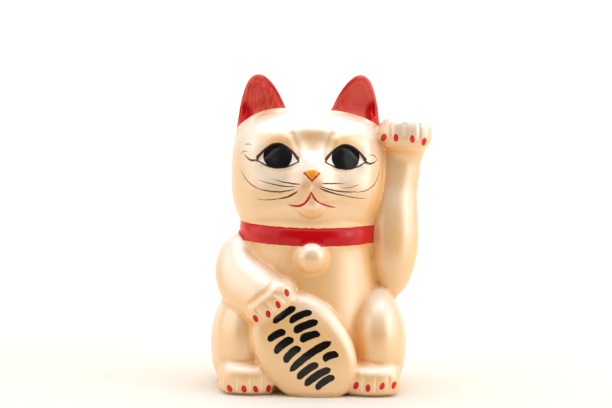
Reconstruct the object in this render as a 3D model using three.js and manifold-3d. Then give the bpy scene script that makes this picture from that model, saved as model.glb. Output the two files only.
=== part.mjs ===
// A lucky cat figurine in glazed ceramic: a seated cat with its left paw raised beside its ear
// and its right paw resting on an oval coin. Millimetres, +Z up, the face looks along -Y.
// The origin lies in the flat underside, below the middle of the face.
// The cat is slip-cast in one piece, so all its forms are joined into one solid.

import * as THREE from "three";
import { mergeVertices } from "three/addons/utils/BufferGeometryUtils.js";
import Module from "manifold-3d";

const wasm = await Module();
wasm.setup();

// Heights of the main levels.
const COLLAR_LOW = 84.2;
const COLLAR_HIGH = 94;
const HEAD_TOP = 158;
const EAR_TIP = 178.4;

// The head: half sizes across, front to back and up, and its fuller lower half down to the neck.
const HEAD_HALF = [44.9, 37.5, 36];
const HEAD_MIDDLE = [0, -2, HEAD_TOP - HEAD_HALF[2]];
const JAW = { height: 40, square: 2.8 };

// The neck under the collar, how far the collar stands proud of it and dips to the front.
const NECK_HALF = [38, 37.4];
const NECK_MIDDLE_Y = -2.6;
const COLLAR_PROUD = 1.6;
const COLLAR_DIP = THREE.MathUtils.degToRad(1.8);

// The right ear sits a little nearer the middle than the left, and a little higher.
const RIGHT_EAR_INSET = 2.2;
const RIGHT_EAR_LIFT = 0.7;

// The bell on the collar.
const BELL_RADIUS = 8.7;
const BELL_MIDDLE = [0.6, -39.5, 77];

// The seat lies a little towards the raised arm. The haunches and hind feet are placed by the
// distance of their middles from it.
const SEAT_SHIFT = 1.3;
const HAUNCH_OUT = 38;
const HAUNCH_HALF = [18.4, 37.5, 32];
const HAUNCH_MIDDLE_Y = -6;
const HAUNCH_MIDDLE_Z = 28;
const FOOT_OUT = 36.2;
const FOOT_HALF = [15.4, 21.5, 10.5];
const FOOT_MIDDLE_Y = -28.5;
const FOOT_MIDDLE_Z = 8;

// The oval coin: half sizes across, through and along, its tilt in front view and its lean back.
const COIN_HALF = [25.4, 8.5, 34];
const COIN_MIDDLE = [-2.4, -43.6, 26];
const COIN_TILT = THREE.MathUtils.degToRad(39);
const COIN_LEAN = THREE.MathUtils.degToRad(4);

// The raised paw and the lowered paw.
const HIGH_PAW_HALF = [15, 14.5, 11];
const HIGH_PAW_MIDDLE = [54.2, -13.5, 146.6];
const LOW_PAW_HALF = [15.8, 9.5, 9];
const LOW_PAW_MIDDLE = [-22.2, -43.5, 52.4];
const LOW_PAW_TILT = THREE.MathUtils.degToRad(-41);

const GLAZE = new THREE.MeshStandardMaterial({
  name: "pearl glaze",
  color: 0xeecfa6,
  roughness: 0.32,
  metalness: 0.35,
});

// A length of n with its sign kept, for rounded-square outlines.
function signedPower(n, power) {
  return Math.sign(n) * Math.abs(n) ** power;
}

// A block between a box and an ellipsoid. square shapes its outline seen from the front, and
// depthSquare shapes it from front to back; 2 is an ellipsoid and more is boxier. The lower half
// may have a height and a squareness of its own.
function roundedBlock(half, square, depthSquare, segments, lower = { height: half[2], square }) {
  const geometry = new THREE.BoxGeometry(2, 2, 2, segments, segments, segments);
  const place = geometry.attributes.position;
  for (let i = 0; i < place.count; i += 1) {
    const even = [place.getX(i), place.getY(i), place.getZ(i)]
      .map((n) => Math.tan((n * Math.PI) / 4));
    const power = even[2] > 0 ? square : lower.square;
    const height = even[2] > 0 ? half[2] : lower.height;
    const outline = Math.abs(even[0]) ** power + Math.abs(even[2]) ** power;
    const level = outline ** (depthSquare / power) + Math.abs(even[1]) ** depthSquare;
    const reach = level ** (-1 / depthSquare);
    place.setXYZ(i, even[0] * reach * half[0], even[1] * reach * half[1],
      even[2] * reach * height);
  }
  return geometry;
}

// A limb or trunk: rings along a smooth centre line. Each station is the middle of a ring
// followed by its half width and its half depth, which is measured along the depth axis.
function limb(stations, sides, rows, square = 2, depthAxis = new THREE.Vector3(0, 1, 0)) {
  const line = new THREE.CatmullRomCurve3(stations.map((s) => new THREE.Vector3(s[0], s[1], s[2])));
  const girth = new THREE.CatmullRomCurve3(stations.map((s) => new THREE.Vector3(s[3], s[4], 0)));
  const geometry = new THREE.CylinderGeometry(1, 1, 1, sides, rows);
  const place = geometry.attributes.position;
  for (let i = 0; i < place.count; i += 1) {
    const t = place.getY(i) + 0.5;
    const along = line.getTangent(t);
    const across = depthAxis.clone().cross(along).normalize();
    const through = along.clone().cross(across);
    const size = girth.getPoint(t);
    const spread = Math.hypot(place.getX(i), place.getZ(i));
    const angle = Math.atan2(-place.getZ(i), place.getX(i));
    const point = line.getPoint(t)
      .addScaledVector(across, size.x * spread * signedPower(Math.cos(angle), 2 / square))
      .addScaledVector(through, size.y * spread * signedPower(Math.sin(angle), 2 / square));
    place.setXYZ(i, point.x, point.y, point.z);
  }
  return geometry;
}

// Pulls the clay around a point: the pull fades smoothly to nothing at its reach.
function grab(geometry, at, pull, reach) {
  const place = geometry.attributes.position;
  const centre = new THREE.Vector3(...at);
  const point = new THREE.Vector3();
  for (let i = 0; i < place.count; i += 1) {
    point.fromBufferAttribute(place, i);
    const near = 1 - Math.min(1, point.distanceTo(centre) / reach);
    const share = near * near * (3 - 2 * near);
    point.addScaledVector(new THREE.Vector3(...pull), share);
    place.setXYZ(i, point.x, point.y, point.z);
  }
  return geometry;
}

// The same pull on both sides of the median plane.
function grabBoth(geometry, at, pull, reach) {
  grab(geometry, at, pull, reach);
  grab(geometry, [-at[0], at[1], at[2]], [-pull[0], pull[1], pull[2]], reach);
}

// A closed geometry as a solid that can be joined and cut.
function solid(geometry) {
  const bare = geometry.clone();
  bare.deleteAttribute("normal");
  bare.deleteAttribute("uv");
  const shared = mergeVertices(bare, 1e-4);
  return new wasm.Manifold(new wasm.Mesh({
    numProp: 3,
    vertProperties: new Float32Array(shared.attributes.position.array),
    triVerts: new Uint32Array(shared.index.array),
  }));
}

// The trunk, from the flat underside up into the neck.
function trunk() {
  return solid(limb([
    [SEAT_SHIFT, 1, -3, 38, 40],
    [SEAT_SHIFT, 1.5, 6, 41, 43],
    [SEAT_SHIFT, 2, 18, 42, 45.5],
    [SEAT_SHIFT, 2.5, 32, 42.5, 46],
    [SEAT_SHIFT, 2, 48, 42.5, 44],
    [0.8, 0.5, 62, 41.5, 41.5],
    [0.4, -1.2, 75, 39.8, 39],
    [0, NECK_MIDDLE_Y, 86, NECK_HALF[0], NECK_HALF[1]],
    [0, NECK_MIDDLE_Y, 94, 36, 35],
    [0, -2, 102, 28, 27],
  ], 32, 11, 2.08));
}

// The head with its brows, eye sockets, nose, muzzle, chin and cheeks.
function head() {
  const shape = roundedBlock(HEAD_HALF, 3.4, 2.5, 15, JAW);
  shape.translate(...HEAD_MIDDLE);
  grab(shape, [0, -38, 104], [0, -2.4, -0.6], 34);
  grabBoth(shape, [19.5, -37, 133.5], [0, 2.8, 0], 15);
  grabBoth(shape, [20, -36, 147], [0, -2.2, 0], 13);
  grab(shape, [0, -39, 142], [0, 1.8, 0], 9);
  grab(shape, [0, -40, 124], [0, -4.6, 0], 14);
  grabBoth(shape, [7, -41, 113.5], [0, -2.2, 0], 12);
  grab(shape, [0, -40, 103.5], [0, -2.2, 0], 9);
  grabBoth(shape, [29, -34, 113], [0, -1.8, 0], 18);
  return solid(shape);
}

// One ear: a leaf with a hollow front, upright on the corner of the head.
function ear(side, inset, lift) {
  const out = (distance) => side * (distance - inset);
  const shape = limb([
    [out(26.5), -4.5, 140 + lift, 17, 10],
    [out(27), -4.8, 150 + lift, 15.4, 9],
    [out(28), -5.2, 159 + lift, 13.4, 7.6],
    [out(29.1), -5.7, 166 + lift, 11.2, 6.2],
    [out(30.2), -6.2, 171.5 + lift, 8.6, 5],
    [out(31.2), -6.6, 175.8 + lift, 5.6, 3.8],
    [out(31.8), -6.8, 177.8 + lift, 3, 2.6],
    [out(32), -6.8, EAR_TIP + lift, 0.9, 0.9],
  ], 18, 10);
  grab(shape, [out(28.2), -13, 161], [0, 5.5, 0], 14);
  return solid(shape);
}

// The collar, a raised band right round the neck, and the bell at its front.
function collar() {
  const middle = (COLLAR_LOW + COLLAR_HIGH) / 2;
  const ring = (height, proud) => [0, 0, height - middle, NECK_HALF[0] + proud,
    NECK_HALF[1] + proud];
  const band = limb([
    ring(COLLAR_LOW, 0.2),
    ring(COLLAR_LOW + 1.2, COLLAR_PROUD - 0.3),
    ring(middle, COLLAR_PROUD + 0.2),
    ring(COLLAR_HIGH - 1.2, COLLAR_PROUD - 0.3),
    ring(COLLAR_HIGH, 0.2),
  ], 32, 4, 2.08);
  band.rotateX(COLLAR_DIP);
  band.translate(0, NECK_MIDDLE_Y, middle);
  return solid(band);
}

function bell() {
  const ball = new THREE.SphereGeometry(BELL_RADIUS, 16, 10);
  ball.translate(...BELL_MIDDLE);
  return solid(ball);
}

// The raised arm from the elbow to the wrist, and the paw that bends forward over it.
function raisedArm() {
  const arm = limb([
    [46, -3, 51, 3, 3],
    [46.7, -3.5, 54, 7, 9],
    [47.4, -4, 60, 11, 14.5],
    [48, -5, 72, 14, 17.6],
    [48.5, -5.5, 84, 15.1, 17.4],
    [48.3, -5, 98, 14.9, 16.2],
    [48.2, -4.5, 112, 14.4, 15],
    [49.8, -4, 123, 14, 14],
    [51.4, -4.5, 133, 13.3, 13.3],
    [53, -6, 141, 14.2, 13.5],
    [53.6, -6, 150, 12.5, 11],
    [54, -6, 155, 6, 6],
  ], 18, 15);
  const paw = roundedBlock(HIGH_PAW_HALF, 2.7, 2.6, 7);
  paw.translate(...HIGH_PAW_MIDDLE);
  return solid(arm).add(solid(paw));
}

// The lowered arm from the shoulder round to the wrist, and the paw on the coin. The arm bends
// in a slanting plane, and its depth is measured square to that plane.
function loweredArm() {
  const arm = limb([
    [-30, 0, 84, 3, 3],
    [-32.6, -2, 80.5, 9.5, 11],
    [-36, -7, 73.5, 14.8, 15.5],
    [-37.4, -14.5, 66, 16, 15.5],
    [-35.2, -24, 60.2, 16.4, 13.8],
    [-31.2, -32.5, 58, 15.8, 11.6],
    [-27.4, -38.5, 56, 14.2, 9.8],
    [-24, -42.5, 54.5, 11, 8.4],
    [-22, -45, 53.5, 5, 4],
  ], 18, 13, 2, new THREE.Vector3(0.56, 0.64, -0.5).normalize());
  const paw = roundedBlock(LOW_PAW_HALF, 2.5, 2.3, 7);
  paw.rotateY(LOW_PAW_TILT);
  paw.translate(...LOW_PAW_MIDDLE);
  return solid(arm).add(solid(paw));
}

// One haunch and the hind foot in front of it.
function hindLeg(side) {
  const haunch = roundedBlock(HAUNCH_HALF, 2.5, 2.3, 8);
  haunch.translate(SEAT_SHIFT + side * HAUNCH_OUT, HAUNCH_MIDDLE_Y, HAUNCH_MIDDLE_Z);
  const foot = roundedBlock(FOOT_HALF, 3.4, 3, 7);
  foot.translate(SEAT_SHIFT + side * FOOT_OUT, FOOT_MIDDLE_Y, FOOT_MIDDLE_Z);
  return solid(haunch).add(solid(foot));
}

// The oval coin, a smooth pillow that leans against the belly.
function coin() {
  const shape = roundedBlock(COIN_HALF, 2.15, 2.3, 10);
  shape.rotateY(-COIN_TILT);
  shape.rotateX(-COIN_LEAN);
  shape.translate(...COIN_MIDDLE);
  return solid(shape);
}

// The short tail, curled against the back above the base.
function tail() {
  return solid(limb([
    [4, 41, 5, 3, 3],
    [6, 45, 10, 6.5, 6.5],
    [9, 47.5, 18, 7, 7],
    [8, 47, 27, 6, 6],
    [3, 45.5, 33, 4.6, 4.6],
    [-1, 44, 35, 2, 2],
  ], 12, 8));
}

function cat() {
  const forms = [trunk(), head(), ear(-1, 0, 0), ear(1, RIGHT_EAR_INSET, RIGHT_EAR_LIFT),
    collar(), bell(), raisedArm(), loweredArm(), hindLeg(-1), hindLeg(1), coin(), tail()];
  const joined = forms.reduce((sum, form) => sum.add(form));
  const below = new THREE.BoxGeometry(300, 300, 100);
  below.translate(0, 0, -50);
  const cut = joined.subtract(solid(below)).getMesh();
  const geometry = new THREE.BufferGeometry();
  geometry.setAttribute("position", new THREE.BufferAttribute(cut.vertProperties, 3));
  geometry.setIndex(new THREE.BufferAttribute(cut.triVerts, 1));
  geometry.computeVertexNormals();
  const mesh = new THREE.Mesh(geometry, GLAZE);
  mesh.name = "lucky_cat";
  return mesh;
}

const figurine = new THREE.Group();
figurine.add(cat());

export default figurine;
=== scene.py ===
# %% [markdown]
# # A lucky cat in pearl glaze, modelled and painted in Blender
#
# The real figurine is slip-cast in one piece: a seated cat that lifts its left paw beside its
# ear and rests the right one on an oval coin. It is glazed in champagne pearl, and then the
# ears, collar, claws, eyes, mouth and whiskers are painted by hand.
#
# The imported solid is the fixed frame. It gives the size and place of every form, and the
# lesson builds a finer cat in exactly that space. Everything is in metres and the sizes below
# are in millimetres, so MM turns one into the other.

# %% Load the frame
import math

import bmesh
import bpy
import numpy as np
from mathutils import Matrix, Vector


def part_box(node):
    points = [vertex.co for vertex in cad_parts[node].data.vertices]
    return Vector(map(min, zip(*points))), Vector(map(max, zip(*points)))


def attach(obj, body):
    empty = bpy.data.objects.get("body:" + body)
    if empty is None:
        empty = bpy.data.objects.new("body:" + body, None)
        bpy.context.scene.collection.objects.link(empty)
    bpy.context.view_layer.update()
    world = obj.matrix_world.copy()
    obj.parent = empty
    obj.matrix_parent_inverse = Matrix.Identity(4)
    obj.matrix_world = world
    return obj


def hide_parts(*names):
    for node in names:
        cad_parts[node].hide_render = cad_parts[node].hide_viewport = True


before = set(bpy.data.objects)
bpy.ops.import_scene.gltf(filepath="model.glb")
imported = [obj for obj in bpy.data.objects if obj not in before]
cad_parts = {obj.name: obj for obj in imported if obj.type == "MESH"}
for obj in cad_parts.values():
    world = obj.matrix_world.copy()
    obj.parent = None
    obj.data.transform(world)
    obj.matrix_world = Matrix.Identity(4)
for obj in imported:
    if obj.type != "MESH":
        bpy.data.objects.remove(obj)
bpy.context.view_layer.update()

MM = 0.001
NODE = "lucky_cat"
low_corner, high_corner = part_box(NODE)
print("solid, mm:", [round(n / MM, 1) for n in low_corner], [round(n / MM, 1) for n in high_corner])

# %% [markdown]
# ## Camera
#
# The camera comes first, so that every later step can be judged in the same view. It stands
# almost a metre in front of the cat, a little above the middle, and looks slightly down. A
# long lens keeps the proportions calm, as in a product photograph. The picture is 612 pixels
# wide, and the focal length is written in those pixels.

# %% Camera
PICTURE_WIDTH = 612
FOCAL_PIXELS = 1642
SENSOR_WIDTH = 36
CAMERA_PLACE = (-41.2, -949.1, 170.4)
CAMERA_PITCH = math.radians(-4.0)
CAMERA_YAW = math.radians(-2.4)
CAMERA_ROLL = math.radians(1.2)

lens = bpy.data.cameras.new("studio_camera")
lens.sensor_width = SENSOR_WIDTH
lens.lens = FOCAL_PIXELS / PICTURE_WIDTH * SENSOR_WIDTH
camera = bpy.data.objects.new("studio_camera", lens)
bpy.context.scene.collection.objects.link(camera)
aim = Matrix.Rotation(CAMERA_YAW, 4, "Z") @ Matrix.Rotation(math.pi / 2 + CAMERA_PITCH, 4, "X")
camera.matrix_world = (Matrix.Translation(Vector(CAMERA_PLACE) * MM) @ aim
                       @ Matrix.Rotation(CAMERA_ROLL, 4, "Z"))
bpy.context.scene.camera = camera
print("lens, mm:", round(lens.lens, 1))

# %% [markdown]
# ## The sizes of the forms
#
# A caster's model is built up from a few soft volumes: trunk, head, ears, arms, haunches,
# feet, coin and tail. Their sizes are those of the solid. Each limb is a list of stations
# along its middle line, as x, y, z, half width and half depth. Keeping the numbers together
# makes it easy to see the cat in them.

# %% Sizes of the forms, in millimetres
COLLAR_LOW = 84.2
COLLAR_HIGH = 94.0
HEAD_TOP = 158.0
EAR_TIP = 178.4
HEAD_HALF = (44.9, 37.5, 36.0)
HEAD_MIDDLE = (0.0, -2.0, HEAD_TOP - HEAD_HALF[2])
JAW_HEIGHT = 41.0
JAW_SQUARE = 2.8
NECK_HALF = (38.0, 37.4)
NECK_MIDDLE_Y = -2.6
COLLAR_PROUD = 1.6
COLLAR_DIP = math.radians(1.8)
LEFT_EAR_INSET = 2.2
LEFT_EAR_LIFT = 0.7
BELL_RADIUS = 8.7
BELL_MIDDLE = (0.6, -39.5, 77.0)
SEAT_SHIFT = 1.3
HAUNCH_OUT = 38.0
HAUNCH_HALF = (18.4, 37.5, 32.0)
HAUNCH_MIDDLE = (-6.0, 28.0)
FOOT_OUT = 34.9
FOOT_HALF = (16.7, 21.5, 10.5)
FOOT_MIDDLE = (-28.5, 8.0)
COIN_HALF = (25.4, 8.5, 34.0)
COIN_MIDDLE = (-2.4, -43.6, 26.0)
COIN_TILT = math.radians(39)
COIN_LEAN = math.radians(4)
HIGH_PAW_HALF = (15.0, 14.5, 11.0)
HIGH_PAW_MIDDLE = (54.2, -13.5, 146.6)
LOW_PAW_HALF = (15.8, 9.5, 9.0)
LOW_PAW_MIDDLE = (-22.2, -42.6, 52.4)
LOW_PAW_TILT = math.radians(-41)

TRUNK = [
    (SEAT_SHIFT, 1, -3, 38, 40),
    (SEAT_SHIFT, 1.5, 6, 41, 43),
    (SEAT_SHIFT, 2, 18, 42, 45.5),
    (SEAT_SHIFT, 2.5, 32, 42.5, 46),
    (SEAT_SHIFT, 2, 48, 42.5, 44),
    (0.8, 0.5, 62, 41.5, 41.5),
    (0.4, -1.2, 75, 39.8, 39),
    (0, NECK_MIDDLE_Y, 86, NECK_HALF[0], NECK_HALF[1]),
    (0, NECK_MIDDLE_Y, 94, 36, 35),
    (0, -2, 102, 28, 27),
]
RAISED_ARM = [
    (46, -3, 51, 3, 3),
    (46.7, -3.5, 54, 7, 9),
    (47.4, -4, 60, 11, 14.5),
    (47.8, -7, 72, 14.4, 17.6),
    (48.1, -8, 84, 15.6, 17.4),
    (48, -7, 98, 15.2, 16.4),
    (48.2, -4.5, 112, 14.4, 15),
    (49.8, -4, 123, 14, 14),
    (51.4, -4.5, 133, 13.3, 13.3),
    (53, -6, 141, 14.2, 13.5),
    (53.6, -6, 150, 12.5, 11),
    (54, -6, 155, 6, 6),
]
LOWERED_ARM = [
    (-30, 0, 84, 3, 3),
    (-32.6, -2, 80.5, 9.5, 11),
    (-36, -7, 73.5, 14.8, 15.5),
    (-37.4, -14.5, 66, 16, 15.5),
    (-35.2, -24, 60.2, 16.4, 13.8),
    (-31.2, -32.5, 58, 15.8, 11.6),
    (-27.4, -38.5, 56, 14.2, 9.8),
    (-24, -42.5, 54.5, 11, 8.4),
    (-22, -45, 53.5, 5, 4),
]
TAIL = [
    (4, 41, 5, 3, 3),
    (6, 45, 10, 6.5, 6.5),
    (9, 47.4, 18, 7, 6.9),
    (8, 46.9, 27, 6, 6),
    (3, 45.5, 33, 4.6, 4.6),
    (-1, 44, 35, 2, 2),
]
print("stations:", len(TRUNK) + len(RAISED_ARM) + len(LOWERED_ARM) + len(TAIL))

# %% [markdown]
# ## Limbs from ribs
#
# An arm or a trunk could be a stretched cylinder, a skin modifier or a lofted stack of rings.
# The stack is the best fit for clay, because each ring carries its own width and depth. The
# stations are first smoothed into a finer run, then a circle is added at each one, stretched,
# and all of them are bridged, as when ribs are planked into a boat.

# %% Helpers for limbs
def select_none():
    """Leaves edit mode and deselects every object."""
    if bpy.context.object and bpy.context.object.mode != "OBJECT":
        bpy.ops.object.mode_set(mode="OBJECT")
    bpy.ops.object.select_all(action="DESELECT")


def smooth_run(stations, spans):
    """A finer run of stations on a curve that passes through every given one."""
    rows = np.array(stations, dtype=float)
    padded = np.vstack([2 * rows[0] - rows[1], rows, 2 * rows[-1] - rows[-2]])
    run = []
    for before, start, end, after in zip(padded, padded[1:], padded[2:], padded[3:]):
        for t in np.arange(spans) / spans:
            run.append(start + (end - before) * t / 2
                       + (2 * before - 5 * start + 4 * end - after) * t ** 2 / 2
                       + (3 * start - before - 3 * end + after) * t ** 3 / 2)
    return np.array(run + [rows[-1]])


def close_form(form):
    """Fills open ends and turns every face outwards."""
    bpy.ops.mesh.select_all(action="SELECT")
    bpy.ops.mesh.fill_holes(sides=0)
    bpy.ops.mesh.select_all(action="SELECT")
    bpy.ops.mesh.normals_make_consistent(inside=False)
    bpy.ops.object.mode_set(mode="OBJECT")
    print(form.name, "faces:", len(form.data.polygons),
          "size, mm:", [round(n / MM, 1) for n in form.dimensions])
    return form


def ribs(name, stations, sides=40, spans=3, depth_axis=(0, 1, 0)):
    """A limb bridged from rings. The half depth of a ring is measured along the depth axis."""
    select_none()
    bpy.ops.object.add(type="MESH", enter_editmode=True)
    form = bpy.context.object
    form.name = name
    run = smooth_run(stations, spans)
    for row, step in zip(run, np.gradient(run[:, :3], axis=0)):
        along = Vector(step).normalized()
        across = Vector(depth_axis).cross(along).normalized()
        axes = Matrix((across, along.cross(across), along)).transposed()
        middle = Vector(row[:3]) * MM
        bpy.ops.mesh.primitive_circle_add(vertices=sides, radius=MM, location=middle,
                                          rotation=axes.to_euler())
        bpy.ops.transform.resize(value=(row[3], row[4], 1), orient_matrix=axes,
                                 center_override=middle)
    bpy.ops.mesh.select_all(action="SELECT")
    bpy.ops.mesh.bridge_edge_loops()
    return close_form(form)


# %% Trunk, arms and tail
LOWERED_ARM_PLANE = (0.56, 0.64, -0.5)

trunk = ribs("trunk", TRUNK, sides=72)
raised_arm = ribs("raised_arm", RAISED_ARM)
lowered_arm = ribs("lowered_arm", LOWERED_ARM, depth_axis=LOWERED_ARM_PLANE)
tail = ribs("tail", TAIL, sides=24)

# %% [markdown]
# ## Pillows from one ring
#
# The head, haunches, feet, paws and coin lie between a box and an egg. A sphere is too round
# for them and a bevelled cube too square. A square ring that is pulled partly to a sphere has
# just the right plan, and extruding it upwards level by level, each level resized by the
# formula of a rounded square, gives the profile too.

# %% Helper for pillows
SQUARE_TO_ROUND = {2.3: 0.87, 2.6: 0.76, 3.0: 0.66}
POLE_ANGLE = math.radians(88)


def pillow(name, half, middle, square, depth_square, turn=Matrix(), jaw=None, cuts=15, rows=36):
    """A rounded block. square shapes its front outline and depth_square its plan.

    jaw gives the lower half a height and a squareness of its own."""
    select_none()
    bpy.ops.object.add(type="MESH", enter_editmode=True)
    form = bpy.context.object
    form.name = name
    bpy.ops.mesh.primitive_circle_add(vertices=4, radius=MM, rotation=(0, 0, math.pi / 4))
    bpy.ops.mesh.subdivide(number_cuts=cuts)
    bpy.ops.transform.tosphere(value=SQUARE_TO_ROUND[depth_square])
    edge = max(v.co.x for v in bmesh.from_edit_mesh(form.data).verts)
    last = Vector((edge, edge, 0))
    for angle in np.linspace(-POLE_ANGLE, POLE_ANGLE, rows):
        share = math.sin(angle)
        height, power = (half[2], square) if share > 0 or not jaw else jaw
        level = Vector((half[0] * (1 - abs(share) ** power) ** (1 / power),
                        half[1] * (1 - abs(share) ** depth_square) ** (1 / depth_square),
                        height * share)) * MM
        if last.z:
            bpy.ops.mesh.extrude_edges_move()
        bpy.ops.transform.translate(value=(0, 0, level.z - last.z))
        bpy.ops.transform.resize(value=(level.x / last.x, level.y / last.y, 1),
                                 center_override=(0, 0, level.z))
        last = level
    close_form(form)
    form.matrix_world = Matrix.Translation(Vector(middle) * MM) @ turn
    bpy.ops.object.transform_apply(location=True, rotation=True, scale=True)
    return form


# %% Haunches, feet and paws
HAUNCH_TAPER = 0.7
TAPER_REACH = 36


def haunch(side):
    """One haunch, drawn in towards its top like a pear."""
    middle = (SEAT_SHIFT + side * HAUNCH_OUT, *HAUNCH_MIDDLE)
    form = pillow(f"haunch_{side}", HAUNCH_HALF, middle, 2.5, 2.3)
    bpy.ops.object.mode_set(mode="EDIT")
    bpy.ops.mesh.select_all(action="DESELECT")
    clay = bmesh.from_edit_mesh(form.data)
    top = max(v.co.z for v in clay.verts)
    for vertex in clay.verts:
        vertex.select = vertex.co.z > top - MM
    bmesh.update_edit_mesh(form.data)
    bpy.ops.transform.resize(value=(HAUNCH_TAPER, 1, 1), center_override=Vector(middle) * MM,
                             use_proportional_edit=True, proportional_edit_falloff="SMOOTH",
                             proportional_size=TAPER_REACH * MM)
    bpy.ops.object.mode_set(mode="OBJECT")
    return form


haunches = [haunch(side) for side in (-1, 1)]
feet = [pillow(f"foot_{side}", FOOT_HALF,
               (SEAT_SHIFT + side * FOOT_OUT, *FOOT_MIDDLE), 5.0, 3.0)
        for side in (-1, 1)]
high_paw = pillow("high_paw", HIGH_PAW_HALF, HIGH_PAW_MIDDLE, 2.7, 2.6)
low_paw = pillow("low_paw", LOW_PAW_HALF, LOW_PAW_MIDDLE, 2.5, 2.3,
                 turn=Matrix.Rotation(LOW_PAW_TILT, 4, "Y"))

# %% [markdown]
# ## The coin
#
# The oval gold coin of the real kind is a flat plate. On the figurine it is a soft pillow,
# because a plaster mould can't hold a thin edge. It tilts 39 degrees in front view and leans
# back a little against the belly.

# %% Coin
coin_turn = Matrix.Rotation(-COIN_LEAN, 4, "X") @ Matrix.Rotation(-COIN_TILT, 4, "Y")
coin = pillow("coin", COIN_HALF, COIN_MIDDLE, 2.15, 2.3, turn=coin_turn, cuts=23, rows=48)

# %% [markdown]
# ## Pressing the clay
#
# A modeller shapes a face by pressing and pulling the clay with a thumb. Proportional editing
# does the same: one vertex moves, and its neighbours follow less and less out to the reach.
# `press` takes one point, or a row of points for a groove, finds the nearest vertices, and
# moves them. `press_both` does it on both sides of the face.

# %% Helpers for pressing
GROOVE_STEPS = 8
NEAR = 20


def is_point(at):
    return isinstance(at[0], (int, float))


def positions(form):
    """The vertex positions of a form as an array."""
    places = np.empty(len(form.data.vertices) * 3)
    form.data.vertices.foreach_get("co", places)
    return places.reshape(-1, 3)


def make_active(form):
    select_none()
    form.select_set(True)
    bpy.context.view_layer.objects.active = form


def press(form, at, pull, reach):
    """Moves the clay at a point, or along a smooth line through points, by pull."""
    spots = np.array([at] if is_point(at) else smooth_run(at, GROOVE_STEPS)) * MM
    make_active(form)
    places = positions(form)
    near = np.flatnonzero((np.abs(places - spots.mean(0)) < np.ptp(spots, 0) + NEAR * MM).all(1))
    chosen = np.zeros(len(places), dtype=bool)
    for spot in spots:
        chosen[near[((places[near] - spot) ** 2).sum(1).argmin()]] = True
    for parts in (form.data.edges, form.data.polygons):
        parts.foreach_set("select", np.zeros(len(parts), dtype=bool))
    form.data.vertices.foreach_set("select", chosen)
    bpy.ops.object.mode_set(mode="EDIT")
    bpy.ops.transform.translate(value=Vector(pull) * MM, use_proportional_edit=True,
                                proportional_edit_falloff="SMOOTH", proportional_size=reach * MM)
    bpy.ops.object.mode_set(mode="OBJECT")


def mirrored(at):
    """The same point, or line of points, on the other side of the face."""
    return (-at[0], at[1], at[2]) if is_point(at) else [mirrored(point) for point in at]


def press_both(form, at, pull, reach):
    """The same press on the right and on the left."""
    press(form, at, pull, reach)
    press(form, mirrored(at), mirrored(pull), reach)


# %% [markdown]
# ## The head
#
# The head is the largest pillow, with a fuller lower half. Brows, eye sockets, nose, muzzle,
# cheeks and chin are pressed into it at the same places as in the solid.

# %% Head
head = pillow("head", HEAD_HALF, HEAD_MIDDLE, 3.4, 2.3, jaw=(JAW_HEIGHT, JAW_SQUARE),
              cuts=39, rows=84)
press(head, (0, -38, 104), (0, -2.4, -0.6), 34)
press_both(head, (19.5, -37, 133.5), (0, 2.8, 0), 15)
press_both(head, (20, -36, 148), (0, -1.5, 0), 14)
press(head, [(-5, -39, 143), (0, -39, 142.5), (5, -39, 143)], (0, 1.5, 0), 8)
press(head, (0, -40, 124), (0, -4.6, 0), 14)
press_both(head, (7, -41, 113.5), (0, -2.2, 0), 12)
press(head, (0, -40, 103.5), (0, -2.2, 0), 9)
press_both(head, (29, -34, 113), (0, -1.8, 0), 18)
print("head, lowest y in mm:", round(min(v.co.y for v in head.data.vertices) / MM, 1))

# %% [markdown]
# ## Ears
#
# An ear is a leaf that stands on the corner of the head, full at the back and hollow in
# front. It is a short limb whose front is pressed in.

# %% Ears
EAR = [
    (26.5, -4.5, 140, 17, 10),
    (27, -4.8, 150, 15.4, 9),
    (28, -5.2, 159, 13.4, 7.6),
    (29.1, -5.7, 166, 11.2, 6.2),
    (30.2, -6.2, 171.5, 8.6, 5),
    (31.2, -6.6, 175.8, 5.6, 3.8),
    (31.8, -6.8, 177.8, 3, 2.6),
    (32, -6.8, EAR_TIP, 0.9, 0.9),
]


def ear(name, side, inset, lift):
    """One ear. inset moves it towards the middle and lift moves it up."""
    form = ribs(name, [(side * (x - inset), y, z + lift, w, d) for x, y, z, w, d in EAR])
    press(form, (side * (28.2 - inset), -13, 161), (0, 5.5, 0), 14)
    return form


ears = [ear("right_ear", -1, 0, 0), ear("left_ear", 1, LEFT_EAR_INSET, LEFT_EAR_LIFT)]

# %% [markdown]
# ## Collar and bell
#
# The collar is moulded with the body, as a flat band with soft edges that dips a little to
# the front. The bell is a plain ball, half sunk into the chest.

# %% Collar and bell
def collar_ring(height, proud):
    """One station of the collar, turned with its dip around the middle of the neck."""
    middle = (COLLAR_LOW + COLLAR_HIGH) / 2
    turned = Matrix.Rotation(COLLAR_DIP, 3, "X") @ Vector((0, 0, height - middle))
    return (turned.x, turned.y + NECK_MIDDLE_Y, turned.z + middle,
            NECK_HALF[0] + proud, NECK_HALF[1] + proud)


collar = ribs("collar", [
    collar_ring(COLLAR_LOW, 0.2),
    collar_ring(COLLAR_LOW + 0.5, COLLAR_PROUD - 0.3),
    collar_ring((COLLAR_LOW + COLLAR_HIGH) / 2, COLLAR_PROUD + 0.2),
    collar_ring(COLLAR_HIGH - 0.5, COLLAR_PROUD - 0.3),
    collar_ring(COLLAR_HIGH, 0.2),
], sides=120, spans=2)
select_none()
bpy.ops.mesh.primitive_uv_sphere_add(segments=48, ring_count=32, radius=BELL_RADIUS * MM,
                                     location=Vector(BELL_MIDDLE) * MM)
bell = bpy.context.object
bell.name = "bell"
bpy.ops.object.transform_apply(location=True, rotation=True, scale=True)

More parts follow.
